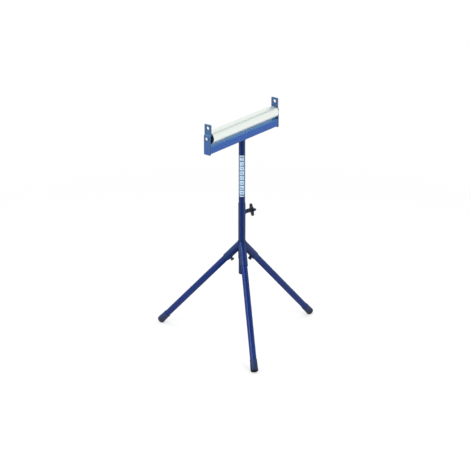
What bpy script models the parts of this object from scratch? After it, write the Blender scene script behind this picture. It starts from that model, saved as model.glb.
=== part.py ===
"""Roller stand: one roller on a height-adjustable mast over three plug-in legs.

Metres, +Z up. The origin is on the floor under the mast, and +X runs along the roller.
"""
from math import atan2, cos, pi, radians, sin, tan, tau

import bmesh
import bpy
from mathutils import Vector

# Fits and cuts shared by all pieces
SEAT_GAP = 0.0003
CUT_OVERRUN = 0.002
SLIDE_CLEARANCE = 0.0004
MERGE_DISTANCE = 0.00001

# Base: outer tube, sockets and legs
LEG_COUNT = 3
BASE_TURN = radians(-14.3)
LEG_SLOPE = radians(47.9)
HUB_HEIGHT = 0.404
OUTER_TUBE_WALL = 0.0012
OUTER_TUBE_LENGTH = 0.233
OUTER_TUBE_BELOW_HUB = 0.0675
LEG_OD = 0.0254
LEG_WALL = 0.0015
SOCKET_WALL = 0.0021
SOCKET_REACH = 0.100

# Rubber feet
FOOT_OD = 0.0304
FOOT_MOUTH_OD = 0.0290
FOOT_LENGTH = 0.048
FOOT_SOLE = 0.008
FOOT_RIM = 0.006
FOOT_LIP = 0.0035
FOOT_LIP_STEP = 0.0006

# Lock under each socket
LOCK_FROM_MOUTH = 0.015
LOCK_SCREW_OD = 0.006
LOCK_NUT_WIDTH = 0.013
LOCK_NUT_HEIGHT = 0.003
LOCK_KNOB_OD = 0.015
LOCK_KNOB_THICKNESS = 0.0075
LOCK_KNOB_STANDOFF = 0.001
LOCK_KNOB_LOBES = 6
LOCK_KNOB_DEPTH_SHARE = 0.14
LOCK_KNOB_SHARPNESS = 0.8

# Mast: inner tube and its lower plug
INNER_TUBE_OD = 0.0254
INNER_TUBE_WALL = 0.0015
INNER_TUBE_LENGTH = 0.557
INNER_TUBE_DROP = 0.061
PLUG_HEAD = 0.004
PLUG_SHANK = 0.016
PLUG_WALL = 0.002
PLUG_CHAMFER = 0.001

# Mast clamp
CLAMP_BELOW_TOP = 0.0395
CLAMP_SCREW_OD = 0.010
CLAMP_TIP_OD = 0.0075
CLAMP_TIP_LENGTH = 0.003
CLAMP_BOSS_OD = 0.018
CLAMP_BOSS_FACE = 0.0065
CLAMP_BOSS_CHAMFER = 0.0012
CROSS_KNOB_OD = 0.051
CROSS_KNOB_THICKNESS = 0.010
CROSS_KNOB_STANDOFF = 0.0205
CROSS_KNOB_LOBES = 4
CROSS_KNOB_DEPTH_SHARE = 0.52
CROSS_KNOB_SHARPNESS = 1.9
CROSS_KNOB_TURN = radians(-17)
CROSS_HUB_OD = 0.017
CROSS_HUB_LENGTH = 0.0095
KNOB_FACE = 0.003
KNOB_EDGE_SHARE = 0.22

# Head: beam and end plates
BEAM_SIZE = 0.030
BEAM_WALL = 0.002
BEAM_CORNER = 0.0035
PLATE_THICKNESS = 0.004
PLATE_WIDTH = 0.031
PLATE_DROP = 0.004
PLATE_CORNER = 0.003
PLATE_STEP = 0.004
PLATE_STEP_RISE = 0.006
PLATE_BEND = 0.002
TAB_FOOT = 0.010
TAB_RISE = 0.056
TAB_HOLE_OD = 0.013
TAB_HOLE_BELOW_TOP = 0.0145

# Roller
ROLLER_OD = 0.048
ROLLER_WALL = 0.002
ROLLER_TUBE_LENGTH = 0.4082
ROLLER_GAP = 0.007
AXLE_OD = 0.012
AXLE_PROUD = 0.003
AXLE_CHAMFER = 0.001
CAP_FLANGE = 0.0016
CAP_FLANGE_EDGE = 0.0004
CAP_SPIGOT = 0.016
CAP_CHAMFER = 0.0015
CAP_THROAT = 0.003
BEARING_OD = 0.028
BEARING_WIDTH = 0.008
BEARING_RECESS = 0.0008
END_PLAY = 0.0022

# Smoothness of round forms
ROUND_STEPS = 48
MIDDLE_STEPS = 40
SMALL_STEPS = 32
ARC_STEPS = 4
CROSS_LOBE_STEPS = 16
LOCK_LOBE_STEPS = 6
SHARP_ANGLE = radians(35)

# Sizes that follow from the ones above
INNER_TUBE_ID = INNER_TUBE_OD - 2 * INNER_TUBE_WALL
OUTER_TUBE_ID = INNER_TUBE_OD + 2 * SLIDE_CLEARANCE
OUTER_TUBE_OD = OUTER_TUBE_ID + 2 * OUTER_TUBE_WALL
OUTER_TUBE_BOTTOM = HUB_HEIGHT - OUTER_TUBE_BELOW_HUB
OUTER_TUBE_TOP = OUTER_TUBE_BOTTOM + OUTER_TUBE_LENGTH
INNER_TUBE_BOTTOM = OUTER_TUBE_BOTTOM - INNER_TUBE_DROP
INNER_TUBE_TOP = INNER_TUBE_BOTTOM + INNER_TUBE_LENGTH
SOCKET_ID = LEG_OD + 2 * SLIDE_CLEARANCE
SOCKET_OD = SOCKET_ID + 2 * SOCKET_WALL
LEG_STOP = (OUTER_TUBE_OD / 2 + SEAT_GAP + LEG_OD / 2 * sin(LEG_SLOPE)) / cos(LEG_SLOPE)
FOOT_END_HEIGHT = FOOT_RIM + (FOOT_OD / 2 - FOOT_RIM) * cos(LEG_SLOPE) - FOOT_RIM * sin(LEG_SLOPE)
FOOT_END = (HUB_HEIGHT - FOOT_END_HEIGHT) / sin(LEG_SLOPE)
LEG_END = FOOT_END - FOOT_SOLE - SEAT_GAP
LOCK_REACH = SOCKET_REACH - LOCK_FROM_MOUTH
CLAMP_HEIGHT = OUTER_TUBE_TOP - CLAMP_BELOW_TOP
BEAM_BOTTOM = INNER_TUBE_TOP + SEAT_GAP
BEAM_TOP = BEAM_BOTTOM + BEAM_SIZE
AXLE_HEIGHT = BEAM_TOP + ROLLER_GAP + ROLLER_OD / 2
ROLLER_ID = ROLLER_OD - 2 * ROLLER_WALL
CAP_INNER = ROLLER_TUBE_LENGTH / 2 + SEAT_GAP
CAP_OUTER = CAP_INNER + CAP_FLANGE
PLATE_INNER = CAP_OUTER + END_PLAY
PLATE_SEAT = PLATE_INNER + PLATE_STEP
PLATE_OUTER = PLATE_SEAT + PLATE_THICKNESS


def clear_scene():
    """Empties the file's scene of its objects and collections."""
    for obj in list(bpy.data.objects):
        bpy.data.objects.remove(obj, do_unlink=True)
    for collection in list(bpy.data.collections):
        bpy.data.collections.remove(collection)


def new_collection(name):
    collection = bpy.data.collections.new(name)
    bpy.context.scene.collection.children.link(collection)
    return collection


clear_scene()
PARTS = new_collection("roller_stand")
CUTTERS = new_collection("cutters")


def paint(obj, colour, roughness, metallic=0.0):
    """Gives a piece its own plain surface."""
    material = bpy.data.materials.new(obj.name)
    material.use_nodes = True
    surface = material.node_tree.nodes["Principled BSDF"]
    surface.inputs["Base Color"].default_value = (*colour, 1.0)
    surface.inputs["Roughness"].default_value = roughness
    surface.inputs["Metallic"].default_value = metallic
    obj.data.materials.clear()
    obj.data.materials.append(material)
    return obj


def blue_paint(obj):
    return paint(obj, (0.026, 0.061, 0.262), 0.35)


def black_plastic(obj):
    return paint(obj, (0.016, 0.018, 0.026), 0.45)


def black_rubber(obj):
    return paint(obj, (0.02, 0.022, 0.03), 0.75)


def bright_zinc(obj):
    return paint(obj, (0.78, 0.80, 0.78), 0.22, 1.0)


def steel(obj):
    return paint(obj, (0.55, 0.56, 0.57), 0.3, 1.0)


def new_frame(name, location, rotation=(0, 0, 0), parent=None):
    """A named set of axes that pieces are placed in."""
    frame = bpy.data.objects.new(name, None)
    PARTS.objects.link(frame)
    frame.location = location
    frame.rotation_euler = rotation
    frame.parent = parent
    return frame


def baked(source, collection):
    """Swaps a curve, or a mesh with modifiers, for the finished mesh in the same place."""
    bpy.context.view_layer.update()
    depsgraph = bpy.context.evaluated_depsgraph_get()
    mesh = bpy.data.meshes.new_from_object(source.evaluated_get(depsgraph))
    name = source.name
    parent = source.parent
    placement = source.matrix_local.copy()
    bpy.data.objects.remove(source, do_unlink=True)
    edit = bmesh.new()
    edit.from_mesh(mesh)
    bmesh.ops.remove_doubles(edit, verts=edit.verts, dist=MERGE_DISTANCE)
    edit.to_mesh(mesh)
    edit.free()
    mesh.name = name
    mesh.shade_smooth()
    mesh.set_sharp_from_angle(angle=SHARP_ANGLE)
    obj = bpy.data.objects.new(name, mesh)
    collection.objects.link(obj)
    obj.parent = parent
    obj.matrix_local = placement
    return obj


def turned(name, profile, frame, ring=False, steps=ROUND_STEPS, collection=PARTS):
    """Turns a half section of (radius, place along the axis) points about the frame's Z axis.

    The section runs down its outer side. A ring's section closes on itself.
    """
    mesh = bpy.data.meshes.new(name)
    edit = bmesh.new()
    corners = [edit.verts.new((radius, 0, along)) for radius, along in profile]
    for first, second in zip(corners, corners[1:]):
        edit.edges.new((first, second))
    if ring:
        edit.edges.new((corners[-1], corners[0]))
    edit.to_mesh(mesh)
    edit.free()
    obj = bpy.data.objects.new(name, mesh)
    collection.objects.link(obj)
    obj.parent = frame
    screw = obj.modifiers.new("turn", "SCREW")
    screw.steps = steps
    screw.render_steps = steps
    screw.use_merge_vertices = True
    screw.merge_threshold = MERGE_DISTANCE
    return baked(obj, collection)


def round_tube(name, outer, inner, low, high, frame, steps=ROUND_STEPS, collection=PARTS):
    profile = [(outer / 2, high), (outer / 2, low), (inner / 2, low), (inner / 2, high)]
    return turned(name, profile, frame, True, steps, collection)


def round_cutter(name, diameter, low, high, frame):
    profile = [(0, high), (diameter / 2, high), (diameter / 2, low), (0, low)]
    return turned(name, profile, frame, False, ROUND_STEPS, CUTTERS)


def arc_points(centre, radius, start, end, steps):
    return [
        (
            centre[0] + radius * cos(start + (end - start) * step / steps),
            centre[1] + radius * sin(start + (end - start) * step / steps),
        )
        for step in range(steps + 1)
    ]


def filleted(corners):
    """An outline from (x, y, radius) corners, each plain or rounded by a tangent arc."""
    outline = []
    for index, (x, y, radius) in enumerate(corners):
        if not radius:
            outline.append((x, y))
            continue
        here = Vector((x, y))
        back = (Vector(corners[index - 1][:2]) - here).normalized()
        onward = (Vector(corners[(index + 1) % len(corners)][:2]) - here).normalized()
        half = back.angle(onward) / 2
        middle = here + (back + onward).normalized() * (radius / sin(half))
        entry = here + back * (radius / tan(half)) - middle
        leave = here + onward * (radius / tan(half)) - middle
        start = Vector((1, 0)).angle_signed(entry) * -1
        sweep = -entry.angle_signed(leave)
        outline += arc_points(middle, radius, start, start + sweep, ARC_STEPS)
    return outline


def circle_outline(centre, diameter, steps=SMALL_STEPS):
    return arc_points(centre, diameter / 2, 0, tau, steps)[:-1]


def lobed_outline(diameter, lobes, depth_share, sharpness, lobe_steps, turn=0):
    """A grip's outline with even lobes and hollows. A sharper grip has narrower lobes."""
    count = lobes * lobe_steps
    points = []
    for index in range(count):
        angle = tau * index / count
        wave = (1 + cos(lobes * angle)) / 2
        radius = diameter / 2 * (1 - depth_share * (1 - wave ** sharpness))
        points.append((radius * cos(angle + turn), radius * sin(angle + turn)))
    return points


def sheet(name, outlines, thickness, frame, location=(0, 0, 0), rotation=(0, 0, 0), edge=0.0,
          collection=PARTS):
    """A flat piece, centred on its thickness, from one outer outline and its holes."""
    curve = bpy.data.curves.new(name, "CURVE")
    curve.dimensions = "2D"
    curve.fill_mode = "BOTH"
    curve.extrude = thickness / 2 - edge
    curve.bevel_depth = edge
    curve.bevel_resolution = 1
    curve.offset = -edge
    for outline in outlines:
        spline = curve.splines.new("POLY")
        spline.points.add(len(outline) - 1)
        for point, (x, y) in zip(spline.points, outline):
            point.co = (x, y, 0, 1)
        spline.use_cyclic_u = True
    obj = bpy.data.objects.new(name, curve)
    collection.objects.link(obj)
    obj.parent = frame
    obj.location = location
    obj.rotation_euler = rotation
    return baked(obj, collection)


def combined(target, others, operation):
    """Cuts, adds or keeps the overlap with each of the other solids, in turn."""
    for other in others:
        other.hide_render = True
        other.display_type = "WIRE"
        step = target.modifiers.new(operation.lower(), "BOOLEAN")
        step.operation = operation
        step.solver = "EXACT"
        step.object = other
    return baked(target, PARTS)


def make_outer_tube(clamp_frame):
    tube = round_tube("outer_tube", OUTER_TUBE_OD, OUTER_TUBE_ID, OUTER_TUBE_BOTTOM,
                      OUTER_TUBE_TOP, None)
    hole = round_cutter("outer_tube_hole", CLAMP_SCREW_OD + 2 * SEAT_GAP, INNER_TUBE_OD / 4,
                        OUTER_TUBE_OD / 2 + CUT_OVERRUN, clamp_frame)
    return blue_paint(combined(tube, [hole], "DIFFERENCE"))


def make_sector(azimuth):
    """The third of the space round the mast that one socket may fill."""
    half = pi / LEG_COUNT
    apex = SEAT_GAP / sin(half)
    reach = SOCKET_REACH + CUT_OVERRUN
    side = (reach - apex) * tan(half)
    outline = [(apex, 0), (reach, -side), (reach, side)]
    return sheet("socket_sector", [outline], 2 * HUB_HEIGHT, None, (0, 0, HUB_HEIGHT),
                 (0, 0, azimuth), 0, CUTTERS)


def make_mast_cutter():
    """The room that pieces welded to the outer tube leave for it."""
    return round_cutter("mast_room", OUTER_TUBE_OD + 2 * SEAT_GAP,
                        OUTER_TUBE_BOTTOM - SOCKET_REACH, OUTER_TUBE_TOP + CUT_OVERRUN, None)


def make_socket(index, azimuth, leg_frame, lock_frame, mast_room):
    """A short tube, mitred against its neighbours and coped to the outer tube."""
    socket = round_tube(f"leg_socket_{index}", SOCKET_OD, SOCKET_ID, 0, SOCKET_REACH, leg_frame)
    socket = combined(socket, [make_sector(azimuth)], "INTERSECT")
    hole = round_cutter("lock_hole", LOCK_SCREW_OD + 2 * SEAT_GAP, LEG_OD / 4,
                        SOCKET_OD / 2 + CUT_OVERRUN, lock_frame)
    return blue_paint(combined(socket, [mast_room, hole], "DIFFERENCE"))


def make_lock_nut(index, leg_frame, lock_frame):
    """A hexagon nut welded under the socket, with its seat cut to the socket's round."""
    across_corners = LOCK_NUT_WIDTH / cos(pi / 6)
    face = SOCKET_OD / 2 + LOCK_NUT_HEIGHT
    root = SOCKET_OD / 2 - LOCK_NUT_HEIGHT
    hexagon = circle_outline((0, 0), across_corners, 6)
    bore = circle_outline((0, 0), LOCK_SCREW_OD + 2 * SEAT_GAP)
    nut = sheet(f"lock_nut_{index}", [hexagon, bore], face - root, lock_frame,
                (0, 0, (face + root) / 2))
    room = round_cutter("socket_room", SOCKET_OD + 2 * SEAT_GAP, 0,
                        SOCKET_REACH + CUT_OVERRUN, leg_frame)
    return blue_paint(combined(nut, [room], "DIFFERENCE"))


def make_leg(index, leg_frame):
    inner = LEG_OD - 2 * LEG_WALL
    leg = round_tube(f"leg_{index}", LEG_OD, inner, LEG_STOP, LEG_END, leg_frame)
    return blue_paint(leg)


def make_foot(index, leg_frame):
    """A ferrule with a lip at its mouth, a slight taper and a rounded sole."""
    outer = FOOT_OD / 2
    mouth = FOOT_MOUTH_OD / 2
    bore = LEG_OD / 2 + SEAT_GAP
    top = FOOT_END - FOOT_LENGTH
    rim = arc_points((outer - FOOT_RIM, FOOT_END - FOOT_RIM), FOOT_RIM, pi / 2, 0, ARC_STEPS)
    sleeve = [
        (mouth - FOOT_LIP_STEP, top + FOOT_LIP),
        (mouth, top + FOOT_LIP),
        (mouth, top),
        (bore, top),
        (bore, FOOT_END - FOOT_SOLE),
        (0, FOOT_END - FOOT_SOLE),
    ]
    profile = [(0, FOOT_END)] + rim + sleeve
    return black_rubber(turned(f"foot_{index}", profile, leg_frame, False, MIDDLE_STEPS))


def make_screw(name, frame, diameter, tip_diameter, tip_length, tip, end):
    """A clamping screw from its plain tip to its end inside the knob."""
    profile = [
        (0, end),
        (diameter / 2, end),
        (diameter / 2, tip + tip_length),
        (tip_diameter / 2, tip + tip_length),
        (tip_diameter / 2, tip),
        (0, tip),
    ]
    return steel(turned(name, profile, frame, False, SMALL_STEPS))


def make_knob(name, frame, outline, thickness, back, bore, hub_diameter=0, hub_length=0):
    """A lobed grip, with a hub where it has one, and a blind bore for its screw."""
    middle = back + thickness / 2
    edge = thickness * KNOB_EDGE_SHARE
    knob = sheet(name, [outline], thickness, frame, (0, 0, middle), (0, 0, 0), edge)
    if hub_length:
        hub = round_cutter(f"{name}_hub", hub_diameter, back - hub_length, middle, frame)
        knob = combined(knob, [hub], "UNION")
    hole = round_cutter(f"{name}_bore", bore, back - hub_length - CUT_OVERRUN,
                        back + thickness - KNOB_FACE, frame)
    return black_plastic(combined(knob, [hole], "DIFFERENCE"))


def make_lock(index, lock_frame):
    """The screw that pinches a leg in its socket, and its small black knob."""
    face = SOCKET_OD / 2 + LOCK_NUT_HEIGHT
    back = face + LOCK_KNOB_STANDOFF
    tip = LEG_OD / 2 + SEAT_GAP
    end = back + LOCK_KNOB_THICKNESS - KNOB_FACE - SEAT_GAP
    make_screw(f"lock_screw_{index}", lock_frame, LOCK_SCREW_OD, LOCK_SCREW_OD,
               LOCK_KNOB_STANDOFF, tip, end)
    outline = lobed_outline(LOCK_KNOB_OD, LOCK_KNOB_LOBES, LOCK_KNOB_DEPTH_SHARE,
                            LOCK_KNOB_SHARPNESS, LOCK_LOBE_STEPS)
    make_knob(f"lock_knob_{index}", lock_frame, outline, LOCK_KNOB_THICKNESS, back,
              LOCK_SCREW_OD + 2 * SEAT_GAP)


def make_leg_set(index, mast_room):
    azimuth = BASE_TURN + tau * index / LEG_COUNT
    leg_frame = new_frame(f"leg_frame_{index}", (0, 0, HUB_HEIGHT), (0, pi / 2 + LEG_SLOPE, azimuth))
    lock_frame = new_frame(f"lock_frame_{index}", (0, 0, LOCK_REACH), (0, pi / 2, 0), leg_frame)
    make_socket(index, azimuth, leg_frame, lock_frame, mast_room)
    make_lock_nut(index, leg_frame, lock_frame)
    make_leg(index, leg_frame)
    make_foot(index, leg_frame)
    make_lock(index, lock_frame)


def make_clamp_boss(clamp_frame, mast_room):
    face = OUTER_TUBE_OD / 2 + CLAMP_BOSS_FACE
    outer = CLAMP_BOSS_OD / 2
    bore = CLAMP_SCREW_OD / 2 + SEAT_GAP
    profile = [
        (outer - CLAMP_BOSS_CHAMFER, face),
        (outer, face - CLAMP_BOSS_CHAMFER),
        (outer, OUTER_TUBE_OD / 4),
        (bore, OUTER_TUBE_OD / 4),
        (bore, face),
    ]
    boss = turned("clamp_boss", profile, clamp_frame, True, SMALL_STEPS)
    return blue_paint(combined(boss, [mast_room], "DIFFERENCE"))


def make_clamp(clamp_frame):
    """The screw that holds the inner tube at its height, and its four-armed knob."""
    hub_back = OUTER_TUBE_OD / 2 + CROSS_KNOB_STANDOFF
    back = hub_back + CROSS_HUB_LENGTH
    tip = INNER_TUBE_OD / 2 + SEAT_GAP
    end = back + CROSS_KNOB_THICKNESS - KNOB_FACE - SEAT_GAP
    make_screw("clamp_screw", clamp_frame, CLAMP_SCREW_OD, CLAMP_TIP_OD, CLAMP_TIP_LENGTH,
               tip, end)
    outline = lobed_outline(CROSS_KNOB_OD, CROSS_KNOB_LOBES, CROSS_KNOB_DEPTH_SHARE,
                            CROSS_KNOB_SHARPNESS, CROSS_LOBE_STEPS, CROSS_KNOB_TURN)
    make_knob("cross_knob", clamp_frame, outline, CROSS_KNOB_THICKNESS, back,
              CLAMP_SCREW_OD + 2 * SEAT_GAP, CROSS_HUB_OD, CROSS_HUB_LENGTH)


def make_inner_tube():
    tube = round_tube("inner_tube", INNER_TUBE_OD, INNER_TUBE_ID, INNER_TUBE_BOTTOM,
                      INNER_TUBE_TOP, None)
    return blue_paint(tube)


def make_plug():
    """The push-in plastic plug in the inner tube's lower end, hollow from above."""
    head_top = INNER_TUBE_BOTTOM - SEAT_GAP
    head_bottom = head_top - PLUG_HEAD
    shank_top = INNER_TUBE_BOTTOM + PLUG_SHANK
    shank = INNER_TUBE_ID / 2 - SEAT_GAP
    rim = INNER_TUBE_OD / 2
    profile = [
        (0, head_top),
        (shank - PLUG_WALL, head_top),
        (shank - PLUG_WALL, shank_top),
        (shank, shank_top),
        (shank, head_top),
        (rim, head_top),
        (rim, head_bottom + PLUG_CHAMFER),
        (rim - PLUG_CHAMFER, head_bottom),
        (0, head_bottom),
    ]
    return black_plastic(turned("mast_plug", profile, None, False, MIDDLE_STEPS))


def make_beam():
    """The square cross beam that the mast carries."""
    half = BEAM_SIZE / 2
    inner = half - BEAM_WALL
    inner_corner = BEAM_CORNER - BEAM_WALL
    signs = ((1, 1), (-1, 1), (-1, -1), (1, -1))
    outside = filleted([(x * half, y * half, BEAM_CORNER) for x, y in signs])
    inside = filleted([(x * inner, y * inner, inner_corner) for x, y in signs])
    beam = sheet("beam", [outside, inside], 2 * (PLATE_SEAT - SEAT_GAP), None,
                 (0, 0, BEAM_BOTTOM + half), (0, pi / 2, 0))
    return blue_paint(beam)


def make_bent_bar(side):
    """The end plate seen along the beam: a bar that steps inwards above the axle."""
    low = BEAM_BOTTOM - PLATE_DROP - AXLE_HEIGHT - CUT_OVERRUN
    high = TAB_RISE + CUT_OVERRUN
    step_top = TAB_FOOT + PLATE_STEP_RISE
    slant = atan2(PLATE_STEP, PLATE_STEP_RISE)
    lag = PLATE_THICKNESS * tan(slant / 2)
    outer_bend = PLATE_BEND + PLATE_THICKNESS
    outline = filleted([
        (PLATE_STEP + PLATE_THICKNESS, low, 0),
        (PLATE_STEP + PLATE_THICKNESS, TAB_FOOT, outer_bend),
        (PLATE_THICKNESS, step_top, PLATE_BEND),
        (PLATE_THICKNESS, high, 0),
        (0, high, 0),
        (0, step_top - lag, outer_bend),
        (PLATE_STEP, TAB_FOOT - lag, PLATE_BEND),
        (PLATE_STEP, low, 0),
    ])
    return sheet("bent_bar", [outline], PLATE_WIDTH + 2 * CUT_OVERRUN, None,
                 (side * PLATE_INNER, 0, AXLE_HEIGHT), (pi / 2, 0, (1 - side) * pi / 2), 0, CUTTERS)


def make_end_plate(name, side):
    """A flat bar welded over the beam's end. It carries the axle and ends as a drilled tab."""
    wide = PLATE_WIDTH / 2
    low = BEAM_BOTTOM - PLATE_DROP - AXLE_HEIGHT
    corners = ((wide, low), (wide, TAB_RISE), (-wide, TAB_RISE), (-wide, low))
    face = filleted([(x, y, PLATE_CORNER) for x, y in corners])
    holes = [
        circle_outline((0, 0), AXLE_OD + 2 * SEAT_GAP),
        circle_outline((0, TAB_RISE - TAB_HOLE_BELOW_TOP), TAB_HOLE_OD),
    ]
    depth = PLATE_STEP + PLATE_THICKNESS
    plate = sheet(name, [face] + holes, depth + 2 * CUT_OVERRUN, None,
                  (side * (PLATE_INNER + depth / 2), 0, AXLE_HEIGHT), (pi / 2, 0, pi / 2))
    return blue_paint(combined(plate, [make_bent_bar(side)], "INTERSECT"))


def make_roller(roller_frame):
    half = ROLLER_TUBE_LENGTH / 2
    return bright_zinc(round_tube("roller_tube", ROLLER_OD, ROLLER_ID, -half, half, roller_frame))


def make_roller_cap(name, side_frame):
    """A plastic end for the roller: a flange, a spigot in the tube and a bearing pocket."""
    flange = ROLLER_OD / 2
    spigot = ROLLER_ID / 2 - SEAT_GAP
    pocket = BEARING_OD / 2 + SEAT_GAP
    throat = BEARING_OD / 2 - CAP_THROAT
    tail = CAP_INNER - CAP_SPIGOT
    floor = CAP_OUTER - BEARING_RECESS - BEARING_WIDTH - SEAT_GAP
    profile = [
        (flange - CAP_FLANGE_EDGE, CAP_OUTER),
        (flange, CAP_OUTER - CAP_FLANGE_EDGE),
        (flange, CAP_INNER),
        (spigot, CAP_INNER),
        (spigot, tail + CAP_CHAMFER),
        (spigot - CAP_CHAMFER, tail),
        (throat, tail),
        (throat, floor),
        (pocket, floor),
        (pocket, CAP_OUTER),
    ]
    return black_plastic(turned(name, profile, side_frame, True, MIDDLE_STEPS))


def make_bearing(name, side_frame):
    outer_face = CAP_OUTER - BEARING_RECESS
    return steel(round_tube(name, BEARING_OD, AXLE_OD + 2 * SEAT_GAP,
                            outer_face - BEARING_WIDTH, outer_face, side_frame, SMALL_STEPS))


def make_axle(roller_frame):
    end = PLATE_OUTER + AXLE_PROUD
    radius = AXLE_OD / 2
    profile = [
        (0, end),
        (radius - AXLE_CHAMFER, end),
        (radius, end - AXLE_CHAMFER),
        (radius, AXLE_CHAMFER - end),
        (radius - AXLE_CHAMFER, -end),
        (0, -end),
    ]
    return steel(turned("axle", profile, roller_frame, False, SMALL_STEPS))


def make_head():
    make_beam()
    roller_frame = new_frame("roller_frame", (0, 0, AXLE_HEIGHT), (0, pi / 2, 0))
    make_roller(roller_frame)
    make_axle(roller_frame)
    for name, side, turn in (("left", -1, pi), ("right", 1, 0)):
        side_frame = new_frame(f"{name}_side_frame", (0, 0, 0), (0, turn, 0), roller_frame)
        make_end_plate(f"end_plate_{name}", side)
        make_roller_cap(f"roller_cap_{name}", side_frame)
        make_bearing(f"bearing_{name}", side_frame)


def make_stand():
    clamp_frame = new_frame("clamp_frame", (0, 0, CLAMP_HEIGHT), (0, pi / 2, BASE_TURN))
    mast_room = make_mast_cutter()
    make_outer_tube(clamp_frame)
    make_clamp_boss(clamp_frame, mast_room)
    make_clamp(clamp_frame)
    for index in range(LEG_COUNT):
        make_leg_set(index, mast_room)
    make_inner_tube()
    make_plug()
    make_head()


make_stand()
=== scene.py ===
from math import cos, radians, sin, sqrt, tau

import bmesh
import bpy
from mathutils import Matrix, Vector


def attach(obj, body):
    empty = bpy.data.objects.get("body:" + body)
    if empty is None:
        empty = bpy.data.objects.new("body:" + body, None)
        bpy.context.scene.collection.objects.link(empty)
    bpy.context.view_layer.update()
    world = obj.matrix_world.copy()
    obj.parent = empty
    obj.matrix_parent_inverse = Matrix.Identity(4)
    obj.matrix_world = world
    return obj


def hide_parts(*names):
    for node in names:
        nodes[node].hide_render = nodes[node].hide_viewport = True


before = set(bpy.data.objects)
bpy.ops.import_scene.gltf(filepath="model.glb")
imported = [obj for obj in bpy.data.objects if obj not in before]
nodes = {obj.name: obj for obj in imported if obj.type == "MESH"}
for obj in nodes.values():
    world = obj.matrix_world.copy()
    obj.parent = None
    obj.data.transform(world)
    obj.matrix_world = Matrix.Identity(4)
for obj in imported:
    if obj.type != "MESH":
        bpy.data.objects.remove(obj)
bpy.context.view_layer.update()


# The camera stands where the photograph was taken from: almost eight metres back and
# high up, looking down at the stand through a long lens that hardly distorts it.
def put_in_scene(name, data):
    """Makes an object of its data and links it into the scene."""
    thing = bpy.data.objects.new(name, data)
    bpy.context.scene.collection.objects.link(thing)
    return thing


IMAGE_WIDTH = 470
FOCAL_LENGTH_PIXELS = 2139.7
SENSOR_WIDTH = 36
CAMERA_PLACE = (-6.198, -4.796, 3.550)
LOOKS_DOWN = radians(21.68)
CAMERA_TURN = radians(-52.07)
camera_data = bpy.data.cameras.new("photo_camera")
camera_data.sensor_width = SENSOR_WIDTH
camera_data.lens = SENSOR_WIDTH * FOCAL_LENGTH_PIXELS / IMAGE_WIDTH
camera_data.clip_end = 200
camera = put_in_scene("photo_camera", camera_data)
camera.location = CAMERA_PLACE
camera.rotation_euler = (tau / 4 - LOOKS_DOWN, 0, CAMERA_TURN)
bpy.context.scene.camera = camera
bpy.context.scene.view_settings.view_transform = "Standard"


# The floor is one plain pale sheet that runs far out past the picture's edges. It shows
# as white as what is behind it, and keeps the soft shade that falls around the feet.
def shaped(name, form):
    """Turns a finished form into an object in the scene."""
    mesh = bpy.data.meshes.new(name)
    form.to_mesh(mesh)
    form.free()
    return put_in_scene(name, mesh)


def feed(tree, inputs, values):
    """Sets each named input to a value, or links it to the output socket that feeds it."""
    for name, value in values.items():
        if isinstance(value, bpy.types.NodeSocket):
            tree.links.new(value, inputs[name])
        else:
            inputs[name].default_value = value


def add_node(tree, kind, values=None, out=0, **settings):
    """Adds a node to a tree, and returns one of its output sockets."""
    node = tree.nodes.new(kind)
    for name, setting in settings.items():
        setattr(node, name, setting)
    feed(tree, node.inputs, values or {})
    return node.outputs[out]


def calc(tree, operation, *terms):
    """One step of arithmetic on one or more values."""
    return add_node(tree, "ShaderNodeMath", dict(enumerate(terms)), operation=operation)


def product(tree, *terms):
    """Several masks or values multiplied together."""
    total = terms[0]
    for term in terms[1:]:
        total = calc(tree, "MULTIPLY", total, term)
    return total


def dot(tree, one, other):
    """How far two directions, or a place and a direction, agree."""
    return add_node(tree, "ShaderNodeVectorMath", {0: one, 1: other}, "Value",
                    operation="DOT_PRODUCT")


def remap(tree, value, low, high, to_low=0.0, to_high=1.0):
    """Carries a value from one range over to another, and stops at the ends."""
    return add_node(tree, "ShaderNodeMapRange", {"Value": value, "From Min": low, "From Max": high,
                                                 "To Min": to_low, "To Max": to_high})


def mixed(tree, share, under, over):
    """A tone that goes from one colour to another as the share goes from 0 to 1."""
    return add_node(tree, "ShaderNodeMix", {0: share, 6: under, 7: over}, 2, data_type="RGBA")


def new_material(name):
    """Starts a material and returns it with its empty tree and its Object coordinates."""
    material = bpy.data.materials.new(name)
    material.use_nodes = True
    tree = material.node_tree
    tree.nodes.clear()
    return material, tree, add_node(tree, "ShaderNodeTexCoord", out="Object")


def close_material(tree, shader):
    """Ends a material in its shader."""
    tree.links.new(shader, tree.nodes.new("ShaderNodeOutputMaterial").inputs["Surface"])


CAMERA_ACROSS = Vector((0.611, -0.792, 0))
FLOOR_HALF_WIDTH = 40
FLOOR_SEEN = (0.44, 0.44, 0.44, 1)
FLOOR_LIFT = 0.56
FLOOR_BOUNCE = (0.85, 0.85, 0.86, 1)
FLOOR_MIRRORED = (0.05, 0.09, 0.14, 1)
SHADE_ENDS = (0.8, 2.2)
UNLIT_ENDS = (0.55, 0.85)
WHITE = (1, 1, 1, 1)
BLACK = (0, 0, 0, 1)
floor_form = bmesh.new()
bmesh.ops.create_grid(floor_form, x_segments=1, y_segments=1, size=FLOOR_HALF_WIDTH)
floor = shaped("floor", floor_form)
pale_floor, tree, place = new_material("pale_floor")
rays = tree.nodes.new("ShaderNodeLightPath").outputs
away = add_node(tree, "ShaderNodeVectorMath", {0: place}, "Value", operation="LENGTH")
far = remap(tree, away, *SHADE_ENDS)
heading = add_node(tree, "ShaderNodeVectorMath", {0: place}, operation="NORMALIZE")
sideways = calc(tree, "ABSOLUTE", dot(tree, heading, CAMERA_ACROSS))
unlit = remap(tree, sideways, *UNLIT_ENDS, 1.0, 0.0)
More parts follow.
